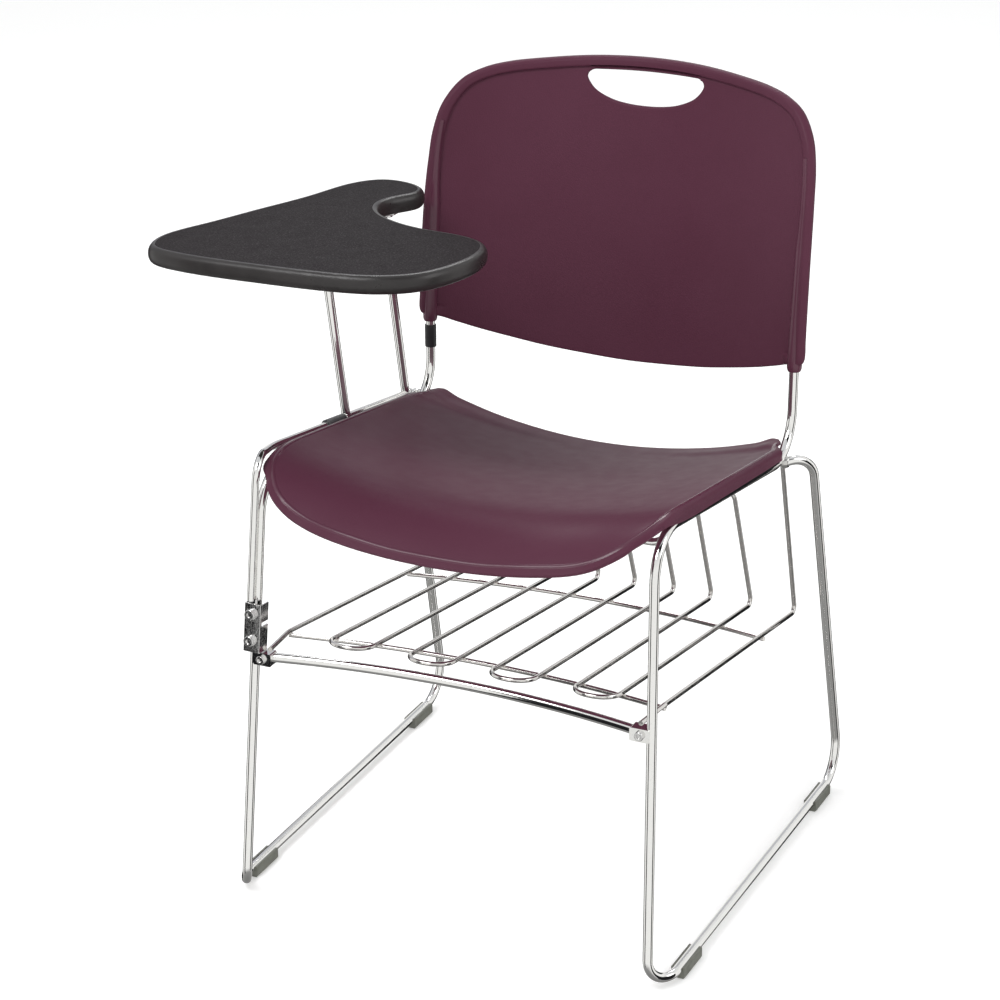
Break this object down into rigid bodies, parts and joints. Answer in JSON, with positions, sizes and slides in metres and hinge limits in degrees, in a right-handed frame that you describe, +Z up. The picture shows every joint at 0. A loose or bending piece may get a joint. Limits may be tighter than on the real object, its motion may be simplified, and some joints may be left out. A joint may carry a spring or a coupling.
{
  "type": "student desk chair",
  "caption": "Stacking chair on bent rod sled legs with a moulded seat and back, a wire book rack beneath and a writing tablet that swings up and out on a side hinge.",
  "frame": {"origin": "floor level, in the plane halfway between the two side frames, below the middle of the seat", "axes": "+Z up; the sitter faces -Y, so the backrest is at +Y; +X is the sitter's left and the writing tablet is on -X"},
  "size_m": [0.6343, 0.5514, 0.802],
  "materials": {
    "chrome_rod": "bright plated steel rod and wire",
    "zinc_steel": "bright zinc plate, slightly dull",
    "maroon_plastic": "satin moulded plastic with a fine grain",
    "dark_plastic": "matte dark grey moulding",
    "grey_glide": "hazy translucent grey moulding",
    "particle_board": "pressed chip board, covered all round",
    "charcoal_laminate": "fine pebbled charcoal laminate",
    "charcoal_edging": "smooth satin bullnose edging"
  },
  "bodies": {
    "chair": {"backrest_screws": "zinc_steel", "backrest_shell": "maroon_plastic", "basket_cross_wire_front": "chrome_rod", "basket_cross_wire_rear": "chrome_rod", "basket_loop_1": "chrome_rod", "basket_loop_2": "chrome_rod", "basket_loop_3": "chrome_rod", "basket_loop_4": "chrome_rod", "basket_side_wire_left": "chrome_rod", "basket_side_wire_right": "chrome_rod", "crossbar_bolts": "zinc_steel", "crossbar_clamp_left": "chrome_rod", "crossbar_clamp_right": "chrome_rod", "crossbar_nuts": "zinc_steel", "front_crossbar": "chrome_rod", "glide_front_left": "grey_glide", "glide_front_right": "grey_glide", "glide_rear_left": "grey_glide", "glide_rear_right": "grey_glide", "rear_leg_welds": "chrome_rod", "seat_cross_rod_front": "chrome_rod", "seat_cross_rod_rear": "chrome_rod", "seat_mount_pads": "dark_plastic", "seat_screws": "zinc_steel", "seat_shell": "maroon_plastic", "side_frame_left": "chrome_rod", "side_frame_right": "chrome_rod", "tablet_bracket": "zinc_steel", "tablet_bracket_bolts": "zinc_steel", "tablet_bracket_nuts": "zinc_steel", "tablet_bracket_washers": "zinc_steel", "tablet_collar": "dark_plastic", "tablet_frame_rod": "chrome_rod", "tablet_rear_stop": "chrome_rod", "upright_sleeve": "dark_plastic"},
    "tablet_arm": {"tablet_hinge_tube": "chrome_rod", "tablet_support_front": "chrome_rod", "tablet_support_rear": "chrome_rod", "tablet_plate_front": "zinc_steel", "tablet_plate_rear": "zinc_steel", "tablet_plate_screws": "zinc_steel", "tablet_core": "particle_board", "tablet_laminate": "charcoal_laminate", "tablet_edge_band": "charcoal_edging"}
  },
  "joints": [
    {"name": "tablet_swing", "type": "hinge", "parent": "chair", "child": "tablet_arm", "pos_m": [-0.2266, 0.06, 0.44368], "axis": [0, -0.9896, 0.1438], "range_deg": [0, 105]}
  ]
}
